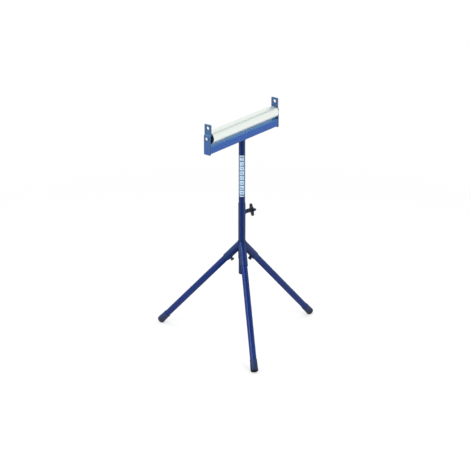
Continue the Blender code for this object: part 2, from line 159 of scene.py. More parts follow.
mirrored = calc(tree, "MAXIMUM", rays["Is Glossy Ray"], rays["Is Transmission Ray"])
seen = calc(tree, "MAXIMUM", mirrored, rays["Is Camera Ray"])
dark = product(tree, mirrored, unlit)
near_tone = mixed(tree, seen, FLOOR_BOUNCE, FLOOR_SEEN)
hidden = calc(tree, "MAXIMUM", product(tree, far, seen), dark)
white = product(tree, remap(tree, far, 0.0, 1.0, FLOOR_LIFT, 1.0), seen)
glow = add_node(tree, "ShaderNodeEmission",
                {"Color": mixed(tree, dark, WHITE, FLOOR_MIRRORED), "Strength": white})
sheet_paint = add_node(tree, "ShaderNodeBsdfDiffuse",
                       {"Color": mixed(tree, hidden, near_tone, BLACK)})
close_material(tree, add_node(tree, "ShaderNodeAddShader", {0: sheet_paint, 1: glow}))
floor.data.materials.append(pale_floor)


# The room is a white tent, open and dark low down where the camera looks in, with a grey
# seam across its roof. Large soft lamps light it through the cloth from both sides and
# above. A black flag over the camera and one bright soft box show in reflections alone.
def axis_of(tree, vector, axis):
    """One of a vector's three parts."""
    return add_node(tree, "ShaderNodeSeparateXYZ", {0: vector}, axis)


CAMERA_SIDE = Vector((-0.792, -0.611, 0))
ROOM_BRIGHT = (0.97, 0.99, 0.97, 1)
ROOM_DARK = (0.03, 0.05, 0.09, 1)
ROOM_SEAM = (0.30, 0.33, 0.32, 1)
SEAM_FACING = (0, 0.944, 0.329)
SEAM_ENDS = (0.05, 0.11)
SEAM_START = (0.3, 0.45)
OPENING_FRONT = (0.1, 0.3)
OPENING_SIDES = (0.5, 0.85)
OPENING_TOP = (0.28, 0.45)
FLAG_FACING = (-0.232, -0.417, 0.879)
FLAG_SPREAD = (38, 29)
SOFT_BOX_FACING = (-0.655, 0.266, 0.706)
SOFT_BOX_SPREAD = (16, 13)
SOFT_BOX_GLOW = (7.0, 7.3, 7.8, 1)
DIFFUSE_STRENGTH = 0.45
world = bpy.data.worlds.new("white_tent")
world.use_nodes = True
bpy.context.scene.world = world
tree = world.node_tree
tree.nodes.clear()
direction = add_node(tree, "ShaderNodeTexCoord", out="Generated")
height = axis_of(tree, direction, "Z")
towards = remap(tree, dot(tree, direction, CAMERA_SIDE), *OPENING_FRONT)
sideways = calc(tree, "ABSOLUTE", dot(tree, direction, CAMERA_ACROSS))
openness = product(tree, remap(tree, sideways, *OPENING_SIDES, 1.0, 0.0), towards,
                   remap(tree, height, *OPENING_TOP, 1.0, 0.0))
seam = calc(tree, "ABSOLUTE", dot(tree, direction, SEAM_FACING))
seam = product(tree, remap(tree, seam, *SEAM_ENDS, 1.0, 0.0),
               remap(tree, height, *SEAM_START))
walls = mixed(tree, seam, mixed(tree, openness, ROOM_BRIGHT, ROOM_DARK), ROOM_SEAM)
rays = tree.nodes.new("ShaderNodeLightPath").outputs
for facing, glow, (rim, full) in ((FLAG_FACING, ROOM_DARK, FLAG_SPREAD),
                                  (SOFT_BOX_FACING, SOFT_BOX_GLOW, SOFT_BOX_SPREAD)):
    panel = remap(tree, dot(tree, direction, facing), cos(radians(rim)), cos(radians(full)))
    walls = mixed(tree, product(tree, panel, rays["Is Glossy Ray"]), walls, glow)
background = mixed(tree, rays["Is Camera Ray"], walls, WHITE)
strength = remap(tree, rays["Is Diffuse Ray"], 0.0, 1.0, 1.0, DIFFUSE_STRENGTH)
air = add_node(tree, "ShaderNodeBackground", {"Color": background, "Strength": strength})
tree.links.new(air, tree.nodes.new("ShaderNodeOutputWorld").inputs["Surface"])

# Each lamp hangs outside the cloth: it lights, but only the cloth shows in reflections.
for name, location, target, size, power in (
        ("left_lamp", (-3.4, 0.9, 2.2), (0, 0, 0.5), 2.0, 73),
        ("right_lamp", (-0.5, -3.1, 3.0), (0, 0, 0.6), 2.0, 74),
        ("roof_lamp", (0.3, 0.3, 3.6), (0, 0, 0), 2.4, 51)):
    lamp_data = bpy.data.lights.new(name, "AREA")
    lamp_data.size = size
    lamp_data.energy = power
    lamp = put_in_scene(name, lamp_data)
    lamp.location = location
    lamp.rotation_euler = (Vector(target) - lamp.location).to_track_quat("-Z", "Y").to_euler()
    lamp.visible_glossy = False


# The outer tube is a plain steel tube under gloss blue enamel. The enamel is sprayed on
# and stoved, so it has a faint orange peel and thins along every edge.
def new_group(name, inputs, kind="ShaderNodeTree"):
    """Starts a node group with named inputs, and returns it with what it is given."""
    group = bpy.data.node_groups.new(name, kind)
    for socket_name, socket_kind, *usual in inputs:
        socket = group.interface.new_socket(socket_name, in_out="INPUT",
                                            socket_type="NodeSocket" + socket_kind)
        if usual:
            socket.default_value = usual[0]
    return group, group.nodes.new("NodeGroupInput").outputs


def close_group(group, results):
    """Ends a node group in named outputs, each of the kind of what feeds it."""
    kinds = {"VALUE": "Float", "RGBA": "Color", "VECTOR": "Vector", "GEOMETRY": "Geometry"}
    for name, result in results.items():
        group.interface.new_socket(name, in_out="OUTPUT",
                                   socket_type="NodeSocket" + kinds[result.type])
    feed(group, group.nodes.new("NodeGroupOutput").inputs, results)


def place_group(tree, group, values):
    """Puts a shared effect into a material with that material's own values."""
    node = tree.nodes.new("ShaderNodeGroup")
    node.node_tree = group
    feed(tree, node.inputs, values)
    return node.outputs


def noise(tree, vector, scale, detail):
    """Cloudy noise through the material."""
    return add_node(tree, "ShaderNodeTexNoise",
                    {"Vector": vector, "Scale": scale, "Detail": detail}, "Fac")


CLOUD_ENDS = (0.3, 0.7)
EDGE_ENDS = (0.985, 0.9)
PATCH_ENDS = (0.46, 0.62)
DUST_FACING = (-0.2, 0.9)
LEAST_DUST = 0.25
SPECK_ENDS = (0.42, 0.72)
sprayed_film, given = new_group(
    "sprayed_film",
    (("Vector", "Vector"), ("Thick Tone", "Color", (0.02, 0.05, 0.22, 1)),
     ("Thin Tone", "Color", (0.03, 0.07, 0.28, 1)), ("Peel Scale", "Float", 420.0),
     ("Gloss Low", "Float", 0.26), ("Gloss High", "Float", 0.36)))
cloud = noise(sprayed_film, given["Vector"], scale=16.0, detail=3.0)
close_group(sprayed_film, {
    "Color": mixed(sprayed_film, cloud, given["Thick Tone"], given["Thin Tone"]),
    "Roughness": remap(sprayed_film, cloud, *CLOUD_ENDS, given["Gloss Low"],
                       given["Gloss High"]),
    "Height": noise(sprayed_film, given["Vector"], given["Peel Scale"], detail=1.0)})

rubbed_edges, given = new_group(
    "rubbed_edges",
    (("Vector", "Vector"), ("Edge Width", "Float", 0.0008), ("Amount", "Float", 0.5)))
rounded = add_node(rubbed_edges, "ShaderNodeBevel", {"Radius": given["Edge Width"]}, samples=4)
facing = add_node(rubbed_edges, "ShaderNodeNewGeometry", out="Normal")
edge = remap(rubbed_edges, dot(rubbed_edges, rounded, facing), *EDGE_ENDS)
patches = noise(rubbed_edges, given["Vector"], scale=190.0, detail=4.0)
patches = remap(rubbed_edges, patches, *PATCH_ENDS)
close_group(rubbed_edges, {"Mask": product(rubbed_edges, edge, patches, given["Amount"]),
                           "Soft Normal": rounded})

settled_dust, given = new_group(
    "settled_dust",
    (("Vector", "Vector"), ("Reach", "Float", 0.12), ("Amount", "Float", 0.2)))
side = add_node(settled_dust, "ShaderNodeTexCoord", out="Normal")
upness = remap(settled_dust, axis_of(settled_dust, side, "Z"), *DUST_FACING, LEAST_DUST, 1.0)
lowness = remap(settled_dust, axis_of(settled_dust, given["Vector"], "Z"),
                0.0, given["Reach"], 1.0, 0.0)
specks = noise(settled_dust, given["Vector"], scale=75.0, detail=5.0)
specks = remap(settled_dust, specks, *SPECK_ENDS)
close_group(settled_dust,
            {"Mask": product(settled_dust, upness, specks, lowness, given["Amount"])})


def close_surface(tree, values, strength, depth, height_map, normal=None):
    """Ends a material in one shader over a fine bump."""
    bump = {"Strength": strength, "Distance": depth, "Height": height_map}
    if normal is not None:
        bump["Normal"] = normal
    values["Normal"] = add_node(tree, "ShaderNodeBump", bump)
    close_material(tree, add_node(tree, "ShaderNodeBsdfPrincipled", values))


PEEL_STRENGTH = 0.18
PEEL_DEPTH = 0.0004
PRIMER_GREY = (0.16, 0.17, 0.19, 1)
FLOOR_DUST = (0.34, 0.32, 0.29, 1)
# Painted shade: these tones are the head's blue made several times darker, for the shade on the
# outer and inner tubes, sockets, nuts, boss and their welds.
BASE_PAINTED_SHADE_TONES = ((0.003, 0.019, 0.105, 1), (0.005, 0.026, 0.135, 1))
ENAMEL_SPECULAR = 0.30


def close_enamel(tree, tone, film, specular, normal=None):
    """Ends an enamel in its tone, the film's own gloss and its orange peel."""
    close_surface(tree, {"Base Color": tone, "Roughness": film["Roughness"],
                         "Specular IOR Level": specular},
                  PEEL_STRENGTH, PEEL_DEPTH, film["Height"], normal)


def blue_enamel(name, tones, edge_amount, dust_amount, gloss, specular):
    """Gloss blue enamel that shows primer where its edges are rubbed."""
    material, tree, place = new_material(name)
    film = place_group(tree, sprayed_film, {"Vector": place, "Thick Tone": tones[0],
                                            "Thin Tone": tones[1], "Gloss Low": gloss[0],
                                            "Gloss High": gloss[1]})
    edges = place_group(tree, rubbed_edges, {"Vector": place, "Amount": edge_amount})
    dust = place_group(tree, settled_dust, {"Vector": place, "Amount": dust_amount})
    rubbed = mixed(tree, edges["Mask"], film["Color"], PRIMER_GREY)
    close_enamel(tree, mixed(tree, dust["Mask"], rubbed, FLOOR_DUST), film, specular,
                 edges["Soft Normal"])
    return material


def finish_nodes(material, *names):
    """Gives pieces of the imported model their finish."""
    for name in names:
        nodes[name].material_slots[0].material = material


base_enamel_painted_shade = blue_enamel("base_enamel_painted_shade", BASE_PAINTED_SHADE_TONES, edge_amount=0.45, dust_amount=0.15,
                          gloss=(0.26, 0.36), specular=ENAMEL_SPECULAR)
finish_nodes(base_enamel_painted_shade, "outer_tube")

# Three sockets are coped to the outer tube and to each other, and arc welded all round.
# The weld is left as it was laid, a rippled bead, and lies under the same enamel.
HUB_HEIGHT = 0.404
LEG_SLOPE = radians(47.9)
LEG_AZIMUTHS = [radians(-14.3) + tau * index / 3 for index in range(3)]
OUTER_TUBE_RADIUS = 0.0143
SOCKET_RADIUS = 0.0152
WELD_PROUD = 0.0005
STEPS_A_RIPPLE = 4
BEAD_SIDES = 8
BEAD_SWELL = 0.95
finish_nodes(base_enamel_painted_shade, *(f"leg_socket_{index}" for index in range(3)))


def close_growth(tree, result_name, geometry, finish):
    """Ends a geometry tree in one real mesh in its own finish."""
    real = add_node(tree, "GeometryNodeRealizeInstances", {"Geometry": geometry})
    close_group(tree, {result_name: add_node(tree, "GeometryNodeSetMaterial",
                                             {"Geometry": real, "Material": finish})})


weld_bead, given = new_group(
    "weld_bead",
    (("Path", "Geometry"), ("Bead Radius", "Float", 0.0016), ("Ripple Length", "Float", 0.0016),
     ("Ripple Depth", "Float", 0.12), ("Seed", "Float", 1.0), ("Finish", "Material")),
    "GeometryNodeTree")
step = product(weld_bead, given["Ripple Length"], 1 / STEPS_A_RIPPLE)
laid = add_node(weld_bead, "GeometryNodeResampleCurve", {"Curve": given["Path"], "Length": step},
                mode="LENGTH")
order = add_node(weld_bead, "GeometryNodeInputIndex")
wave = calc(weld_bead, "SINE", product(weld_bead, order, tau / STEPS_A_RIPPLE))
where = add_node(weld_bead, "GeometryNodeInputPosition")
wander = add_node(weld_bead, "ShaderNodeTexNoise",
                  {"Vector": where, "W": given["Seed"], "Scale": 260.0, "Detail": 1.0}, "Fac",
                  noise_dimensions="4D")
swell = calc(weld_bead, "MULTIPLY_ADD", calc(weld_bead, "ADD", wave, wander),
             given["Ripple Depth"], BEAD_SWELL)
bead = add_node(weld_bead, "GeometryNodeSetCurveRadius", {"Curve": laid, "Radius": swell})
section = add_node(weld_bead, "GeometryNodeCurvePrimitiveCircle",
                   {"Resolution": BEAD_SIDES, "Radius": given["Bead Radius"]})
bead = add_node(weld_bead, "GeometryNodeCurveToMesh",
                {"Curve": bead, "Profile Curve": section, "Fill Caps": True})
bead = add_node(weld_bead, "GeometryNodeSetShadeSmooth", {"Geometry": bead})
close_growth(weld_bead, "Bead", bead, given["Finish"])


def grown(name, source_data, tree, values, body, place=Matrix.Identity(4)):
    """Runs a geometry tree and keeps its result as one plain mesh on a body."""
    source = put_in_scene(f"{name}_source", source_data)
    modifier = source.modifiers.new("grown", "NODES")
    modifier.node_group = tree
    for item in tree.interface.items_tree:
        if item.name in values:
            modifier[item.identifier] = values[item.name]
    view = bpy.context.evaluated_depsgraph_get()
    mesh = bpy.data.meshes.new_from_object(source.evaluated_get(view))
    mesh.name = name
    source.modifiers.remove(modifier)
    bpy.data.objects.remove(source)
    mesh.transform(place)
    piece = put_in_scene(name, mesh)
    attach(piece, body)
    return piece


def welded(name, paths, radius, length, depth, seed, finish, body):
    """Lays a weld bead along each path; a true flag after its points closes a path."""
    curve = bpy.data.curves.new(f"{name}_paths", "CURVE")
    curve.dimensions = "3D"
    for points, closed in paths:
        spline = curve.splines.new("POLY")
        spline.points.add(len(points) - 1)
        for target, point in zip(spline.points, points):
            target.co = (*point, 1)
        spline.use_cyclic_u = closed
    return grown(name, curve, weld_bead,
                 {"Bead Radius": radius, "Ripple Length": length, "Ripple Depth": depth,
                  "Seed": seed, "Finish": finish}, body)


def leg_directions(azimuth):
    """Along a leg, square to it on its upper side, and level across it."""
    outward = Vector((cos(azimuth), sin(azimuth), 0))
    across = Vector((-sin(azimuth), cos(azimuth), 0))
    along = cos(LEG_SLOPE) * outward - sin(LEG_SLOPE) * Vector((0, 0, 1))
    above = sin(LEG_SLOPE) * outward + cos(LEG_SLOPE) * Vector((0, 0, 1))
    return along, above, across


def socket_root(azimuth, turn):
    """The corner point between a socket and its neighbours, and whether that is the tube."""
    along, above, across = leg_directions(azimuth)
    radius = SOCKET_RADIUS + WELD_PROUD
    wide = radius * abs(sin(turn))
    lean = radius * cos(turn) * sin(LEG_SLOPE)
    tube = OUTER_TUBE_RADIUS + WELD_PROUD
    to_seam = (wide / sqrt(3) - lean) / cos(LEG_SLOPE)
    to_tube = (sqrt(tube ** 2 - wide ** 2) - lean) / cos(LEG_SLOPE) if wide < tube else to_seam
    point = Vector((0, 0, HUB_HEIGHT)) + max(to_seam, to_tube) * along \
        + radius * (cos(turn) * above + sin(turn) * across)
    return point, to_tube > to_seam


WELD_STEPS = 240
hub_paths = []
for azimuth in LEG_AZIMUTHS:
    roots = [socket_root(azimuth, tau * step / WELD_STEPS) for step in range(WELD_STEPS)]
    half = WELD_STEPS // 2
    upper = [roots[step % WELD_STEPS][0] for step in range(-half // 2, half // 2)
             if roots[step % WELD_STEPS][1]]
    lower = [roots[step][0] for step in range(half // 2, 3 * half // 2) if roots[step][1]]
    seam = [roots[step][0] for step in range(half) if not roots[step][1]]
    hub_paths += [(upper, False), (lower, False), (seam, False)]
hub_welds = welded("hub_welds", hub_paths, radius=0.0017, length=0.0017, depth=0.13, seed=3.0,
                   finish=base_enamel_painted_shade, body="base")

# Each socket has a hexagon nut welded underneath. The small lobed knob on its screw
# pinches the leg; the screws are zinc-plated steel and the knobs moulded black plastic.
NUT_REACH = 0.085
NUT_WELD_RADIUS = 0.0074
NUT_WELD_STEPS = 48
LOCK_CORE_RADIUS = 0.0026
LOCK_CREST_RADIUS = 0.003
LOCK_PITCH = 0.001
LOCK_TIP = 0.013
LOCK_TIP_RADIUS = 0.0024
LOCK_TIP_LENGTH = 0.001
LOCK_END = 0.0234
SCREW_SIDES = 32

turned_lines, given = new_group(
    "turned_lines",
    (("Vector", "Vector"), ("Axis", "Vector", (1, 0, 0)), ("Line Scale", "Float", 2400.0)))
along_axis = dot(turned_lines, given["Vector"], given["Axis"])
on_axis = add_node(turned_lines, "ShaderNodeVectorMath",
                   {0: given["Axis"], "Scale": along_axis}, operation="SCALE")
off_axis = add_node(turned_lines, "ShaderNodeVectorMath", {0: given["Vector"], 1: on_axis},
                    "Value", operation="DISTANCE")
tool_path = calc(turned_lines, "ADD", along_axis, off_axis)
rings, bands = (add_node(turned_lines, "ShaderNodeTexNoise",
                         {"W": tool_path, "Scale": scale, "Detail": detail}, "Fac",
                         noise_dimensions="1D")
                for scale, detail in ((given["Line Scale"], 2.0), (160.0, 3.0)))
close_group(turned_lines, {"Height": rings, "Mask": bands})
TURNING_DEPTH = 0.0001


def turned_metal(name, tone, worn_tone, centre, axis, roughness, strength, edge_width,
                 line_scale=2400.0):
    """Bright metal with the fine rings that a lathe or a polishing belt leaves."""
    material, tree, place = new_material(name)
    local = add_node(tree, "ShaderNodeMapping", {"Vector": place,
                                                 "Location": [-value for value in centre]})
    rings = place_group(tree, turned_lines, {"Vector": local, "Axis": axis,
                                             "Line Scale": line_scale})
    edges = place_group(tree, rubbed_edges, {"Vector": place, "Edge Width": edge_width})
    blend = mixed(tree, noise(tree, place, scale=28.0, detail=4.0), tone, worn_tone)
    polish = remap(tree, rings["Mask"], *CLOUD_ENDS, *roughness)
    close_surface(tree, {"Base Color": blend, "Metallic": 1.0, "Roughness": polish},
                  strength, TURNING_DEPTH, rings["Height"], edges["Soft Normal"])
    return material


screw_zinc = turned_metal("screw_zinc", (0.62, 0.63, 0.62, 1), (0.50, 0.52, 0.54, 1),
                          centre=(0, 0, 0), axis=(0, 0, 1), roughness=(0.24, 0.38),
                          strength=0.05, edge_width=0.0002)

screw_thread, given = new_group(
    "screw_thread",
    (("Core Radius", "Float", 0.0043), ("Crest Radius", "Float", 0.005),
     ("Pitch", "Float", 0.0015), ("Length", "Float", 0.03), ("Tip Radius", "Float", 0.0037),
     ("Tip Length", "Float", 0.003), ("Finish", "Material")), "GeometryNodeTree")
turns = calc(screw_thread, "DIVIDE", given["Length"], given["Pitch"])
helix = add_node(screw_thread, "GeometryNodeCurveSpiral",
                 {"Resolution": 24, "Rotations": turns, "Start Radius": given["Core Radius"],
                  "End Radius": given["Core Radius"], "Height": given["Length"]})
helix = add_node(screw_thread, "GeometryNodeSetCurveNormal", {"Curve": helix}, mode="Z_UP")
ridge = calc(screw_thread, "SUBTRACT", given["Crest Radius"], given["Core Radius"])
diamond = add_node(screw_thread, "GeometryNodeCurvePrimitiveCircle",
                   {"Resolution": 4, "Radius": ridge})
thread = add_node(screw_thread, "GeometryNodeCurveToMesh",
                  {"Curve": helix, "Profile Curve": diamond, "Fill Caps": True})
bars = []
for part, half in (("Tip", -0.5), ("Core", 0.5)):
    length = given["Length" if part == "Core" else "Tip Length"]
    bar = add_node(screw_thread, "GeometryNodeMeshCylinder",
                   {"Vertices": SCREW_SIDES, "Radius": given[f"{part} Radius"], "Depth": length})
    middle = add_node(screw_thread, "ShaderNodeCombineXYZ",
                      {"Z": product(screw_thread, length, half)})
    bars.append(add_node(screw_thread, "GeometryNodeTransform", {"Geometry": bar,
                                                                 "Translation": middle}))
screw = screw_thread.nodes.new("GeometryNodeJoinGeometry")
for part in (*bars, thread):
    screw_thread.links.new(part, screw.inputs[0])
close_growth(screw_thread, "Screw", screw.outputs[0], given["Finish"])

moulded_skin, given = new_group(
    "moulded_skin",
    (("Vector", "Vector"), ("Tone", "Color", (0.012, 0.014, 0.02, 1)),
     ("Bloom Tone", "Color", (0.03, 0.034, 0.045, 1)), ("Grain Scale", "Float", 2200.0),
     ("Sheen Low", "Float", 0.38), ("Sheen High", "Float", 0.55)))
cloud = noise(moulded_skin, given["Vector"], scale=60.0, detail=4.0)
close_group(moulded_skin, {
    "Color": mixed(moulded_skin, cloud, given["Tone"], given["Bloom Tone"]),
    "Roughness": remap(moulded_skin, cloud, *CLOUD_ENDS, given["Sheen Low"],
                       given["Sheen High"]),
    "Height": add_node(moulded_skin, "ShaderNodeTexVoronoi",
                       {"Vector": given["Vector"], "Scale": given["Grain Scale"]}, "Distance")})
HANDLED_TONE = (0.06, 0.065, 0.075, 1)
GRAIN_DEPTH = 0.0002


def moulded(material, tree, place, tone, bloom_tone, sheen, grain_scale, strength,
            edge_amount, dust_amount):
    """Makes a new material moulded plastic or rubber, paler along the edges that hands wear."""
    skin = place_group(tree, moulded_skin,
                       {"Vector": place, "Tone": tone, "Bloom Tone": bloom_tone,
                        "Grain Scale": grain_scale, "Sheen Low": sheen[0],
                        "Sheen High": sheen[1]})
    edges = place_group(tree, rubbed_edges, {"Vector": place, "Amount": edge_amount,
                                             "Edge Width": 0.0007})
    dust = place_group(tree, settled_dust, {"Vector": place, "Amount": dust_amount,
                                            "Reach": 0.06})
    rubbed = mixed(tree, edges["Mask"], skin["Color"], HANDLED_TONE)
    close_surface(tree, {"Base Color": mixed(tree, dust["Mask"], rubbed, FLOOR_DUST),
                         "Roughness": skin["Roughness"]},
                  strength, GRAIN_DEPTH, skin["Height"], edges["Soft Normal"])
    return material


def screw_place(origin, direction, start):
    """Stands a screw's own axis along a direction, from a start on that axis."""
    turn = direction.to_track_quat("Z", "Y").to_matrix().to_4x4()
    return Matrix.Translation(origin + start * direction) @ turn


knob_plastic = moulded(*new_material("knob_plastic"), (0.006, 0.009, 0.022, 1),
                       (0.014, 0.019, 0.038, 1), sheen=(0.30, 0.42), grain_scale=2200.0,
                       strength=0.12, edge_amount=0.5, dust_amount=0.0)
nut_paths = []
for index, azimuth in enumerate(LEG_AZIMUTHS):
    finish_nodes(base_enamel_painted_shade, f"lock_nut_{index}")
    finish_nodes(knob_plastic, f"lock_knob_{index}")
    along, above, across = leg_directions(azimuth)
    seat = Vector((0, 0, HUB_HEIGHT)) + NUT_REACH * along
    ring = []
    for step in range(NUT_WELD_STEPS):
        turn = tau * step / NUT_WELD_STEPS
        sideways = NUT_WELD_RADIUS * sin(turn)
        drop = sqrt(SOCKET_RADIUS ** 2 - sideways ** 2)
        ring.append(seat + NUT_WELD_RADIUS * cos(turn) * along + sideways * across
                    - drop * above)
    nut_paths.append((ring, True))
    lock_screw = grown(f"lock_screw_thread_{index}", bpy.data.meshes.new("blank"), screw_thread,
                       {"Core Radius": LOCK_CORE_RADIUS, "Crest Radius": LOCK_CREST_RADIUS,
                        "Pitch": LOCK_PITCH, "Length": LOCK_END - LOCK_TIP - LOCK_TIP_LENGTH,
                        "Tip Radius": LOCK_TIP_RADIUS, "Tip Length": LOCK_TIP_LENGTH,
                        "Finish": screw_zinc}, f"leg_{index}_lock_screw",
                       screw_place(seat, -above, LOCK_TIP + LOCK_TIP_LENGTH))
    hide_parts(f"lock_screw_{index}")
nut_welds = welded("nut_welds", nut_paths, radius=0.0008, length=0.0012, depth=0.14, seed=7.0,
                   finish=base_enamel_painted_shade, body="base")

# The legs are plain round tubes that push up into the sockets, and stand in navy rubber
# ferrules, black at the sole. Their enamel is painted shade: the head's blue made darker,
# a shade brighter than the base's.
FOOT_SOLE_HEIGHT = 0.008
FOOT_MOUTH_HEIGHT = 0.042
LEG_SPECULAR = 0.18
# Painted shade: the legs' tones are a darkened copy of the head's blue.
leg_enamel_painted_shade = blue_enamel("leg_enamel_painted_shade", ((0.004, 0.018, 0.122, 1), (0.008, 0.031, 0.180, 1)),
                         edge_amount=0.35, dust_amount=0.12, gloss=(0.15, 0.22),
                         specular=LEG_SPECULAR)
foot_rubber, tree, place = new_material("foot_rubber")
rise = remap(tree, axis_of(tree, place, "Z"), FOOT_SOLE_HEIGHT, FOOT_MOUTH_HEIGHT)
moulded(foot_rubber, tree, place,
        mixed(tree, rise, (0.004, 0.007, 0.020, 1), (0.005, 0.019, 0.085, 1)),
        mixed(tree, rise, (0.009, 0.012, 0.028, 1), (0.010, 0.028, 0.115, 1)),
        sheen=(0.50, 0.70), grain_scale=1500.0, strength=0.2, edge_amount=0.3,
        dust_amount=0.06)
for index in range(3):
    finish_nodes(leg_enamel_painted_shade, f"leg_{index}")
    finish_nodes(foot_rubber, f"foot_{index}")

# The clamp that holds the mast is a turned boss welded to the outer tube, a long zinc
# screw that bears on the inner tube, and a four-armed hand knob of black plastic.
CLAMP_HEIGHT = 0.53
BOSS_WELD_RADIUS = 0.0093
RING_STEPS = 72
CLAMP_TIP = 0.013
CLAMP_TIP_LENGTH = 0.003
CLAMP_END = 0.051
finish_nodes(base_enamel_painted_shade, "clamp_boss")
finish_nodes(knob_plastic, "cross_knob")
clamp_axis = Vector((cos(LEG_AZIMUTHS[0]), sin(LEG_AZIMUTHS[0]), 0))
clamp_across = Vector((-sin(LEG_AZIMUTHS[0]), cos(LEG_AZIMUTHS[0]), 0))
boss_ring = []
for step in range(RING_STEPS):
    turn = tau * step / RING_STEPS
    sideways = BOSS_WELD_RADIUS * sin(turn)
    depth = sqrt((OUTER_TUBE_RADIUS + WELD_PROUD) ** 2 - sideways ** 2)
    boss_ring.append(depth * clamp_axis + sideways * clamp_across
                     + Vector((0, 0, CLAMP_HEIGHT + BOSS_WELD_RADIUS * cos(turn))))
boss_weld = welded("boss_weld", [(boss_ring, True)], radius=0.0013, length=0.0014, depth=0.13,
                   seed=11.0, finish=base_enamel_painted_shade, body="base")
clamp_middle = Vector((0, 0, CLAMP_HEIGHT))
clamp_thread = grown("clamp_screw_thread", bpy.data.meshes.new("blank"), screw_thread,
                     {"Core Radius": 0.0042, "Crest Radius": 0.005, "Pitch": 0.0015,
                      "Length": CLAMP_END - CLAMP_TIP - CLAMP_TIP_LENGTH,
                      "Tip Radius": 0.0037, "Tip Length": CLAMP_TIP_LENGTH,
                      "Finish": screw_zinc}, "mast_clamp_screw",
                     screw_place(clamp_middle, clamp_axis, CLAMP_TIP + CLAMP_TIP_LENGTH))
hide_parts("clamp_screw")

# The hand knob's hub runs on towards the boss as a moulded sleeve that hides the screw's
# thread. It draws in a little to its mouth, and clears the boss when the clamp is tight.
SLEEVE_MOUTH = 0.0243
SLEEVE_ROOT = 0.0322
SLEEVE_BORE = 0.0053
SLEEVE_MOUTH_RADIUS = 0.0079
SLEEVE_ROOT_RADIUS = 0.0084
SLEEVE_CHAMFER = 0.0008
SLEEVE_STEPS = 48
sleeve_outline = ((SLEEVE_MOUTH, SLEEVE_BORE), (SLEEVE_ROOT, SLEEVE_BORE),
                  (SLEEVE_ROOT, SLEEVE_ROOT_RADIUS),
                  (SLEEVE_MOUTH + SLEEVE_CHAMFER, SLEEVE_MOUTH_RADIUS),
                  (SLEEVE_MOUTH, SLEEVE_MOUTH_RADIUS - SLEEVE_CHAMFER))
sleeve_form = bmesh.new()
rings = []
for step in range(SLEEVE_STEPS):
    turn = tau * step / SLEEVE_STEPS
    rings.append([sleeve_form.verts.new((radius * cos(turn), radius * sin(turn), reach))
                  for reach, radius in sleeve_outline])
for step in range(SLEEVE_STEPS):
    ring, after = rings[step], rings[(step + 1) % SLEEVE_STEPS]
    for spot in range(len(sleeve_outline)):
        ahead = (spot + 1) % len(sleeve_outline)
        sleeve_form.faces.new((ring[spot], ring[ahead], after[ahead], after[spot]))
bmesh.ops.recalc_face_normals(sleeve_form, faces=sleeve_form.faces[:])
knob_sleeve = shaped("knob_sleeve", sleeve_form)
knob_sleeve.data.transform(screw_place(clamp_middle, clamp_axis, 0))
knob_sleeve.data.materials.append(knob_plastic)
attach(knob_sleeve, "mast_clamp_knob")

# The inner tube slides in the outer one, so its enamel is drawn with fine upright rub
# marks. Its lower end is closed by a plug of moulded plastic.
INNER_TUBE_RADIUS = 0.0127
TUBE_TOP = 0.8325
RUB_TOP = 0.66
RUB_FULL = 0.56
RUB_TONE = (0.10, 0.14, 0.26, 1)
RUB_SHARE = 0.35
SCRATCH_STRETCH = (1500, 1500, 14)
SCRATCH_ENDS = (0.62, 0.74)
inner_enamel, tree, place = new_material("inner_tube_enamel")
# Painted shade: the inner tube takes the base's darkened copy of the head's blue.
film = place_group(tree, sprayed_film, {"Vector": place, "Thick Tone": BASE_PAINTED_SHADE_TONES[0],
                                        "Thin Tone": BASE_PAINTED_SHADE_TONES[1]})
drawn = add_node(tree, "ShaderNodeMapping", {"Vector": place, "Scale": SCRATCH_STRETCH})
scratches = remap(tree, noise(tree, drawn, scale=1.0, detail=2.0), *SCRATCH_ENDS)
slid_over = remap(tree, axis_of(tree, place, "Z"), RUB_TOP, RUB_FULL)
rub = product(tree, scratches, slid_over, RUB_SHARE)
close_enamel(tree, mixed(tree, rub, film["Color"], RUB_TONE), film, ENAMEL_SPECULAR)
finish_nodes(inner_enamel, "inner_tube")
finish_nodes(knob_plastic, "mast_plug")
mast_ring = [Vector(((INNER_TUBE_RADIUS + WELD_PROUD) * cos(tau * step / RING_STEPS),
                     (INNER_TUBE_RADIUS + WELD_PROUD) * sin(tau * step / RING_STEPS), TUBE_TOP))
             for step in range(RING_STEPS)]
mast_weld = welded("mast_weld", [(mast_ring, True)], radius=0.0016, length=0.0016, depth=0.13,
                   seed=17.0, finish=inner_enamel, body="head")

# The height scale is a printed vinyl strip stuck round the front of the inner tube. Its
# numbers read the roller's height in centimetres against the outer tube's mouth.
SCALE_LOW = 0.6002
SCALE_HIGH = 0.7705
SCALE_HEIGHT = SCALE_HIGH - SCALE_LOW
SCALE_MIDDLE = (SCALE_LOW + SCALE_HIGH) / 2
SCALE_FACING = radians(214.3)
SCALE_HALF_ANGLE = radians(84)
FIELD_HALF_ANGLE = radians(35)
BORDER_ANGLE = radians(3)
VINYL_RADIUS = INNER_TUBE_RADIUS + 0.00012
PRINT_RADIUS = INNER_TUBE_RADIUS + 0.00020
READING_AT_FLOOR = 1.4875
READINGS = range(74, 90, 2)
STRIP_STEPS = 48
PRINT_THICKNESS = 0.00004
PALE_VINYL = (0.58, 0.80, 1.0, 1)
SLATE_INK = (0.05, 0.11, 0.22, 1)
WHITE_VINYL = (0.72, 0.86, 1.0, 1)
BORDER_INK_AND_SHADE = (0.10, 0.17, 0.25, 1)
FADED_VINYL = (0.36, 0.48, 0.66, 1)
INK_BAND_START = 0.904
WHITE_BAND_START = 0.951
LEAST_INK = 0.85
VINYL_ROUGHNESS = (0.42, 0.3)


def wrapped(point, radius):
    """Lays a point of a flat drawing round the tube, with its middle to the front."""
    angle = SCALE_FACING + point.x / radius
    return Vector((radius * cos(angle), radius * sin(angle), point.y))


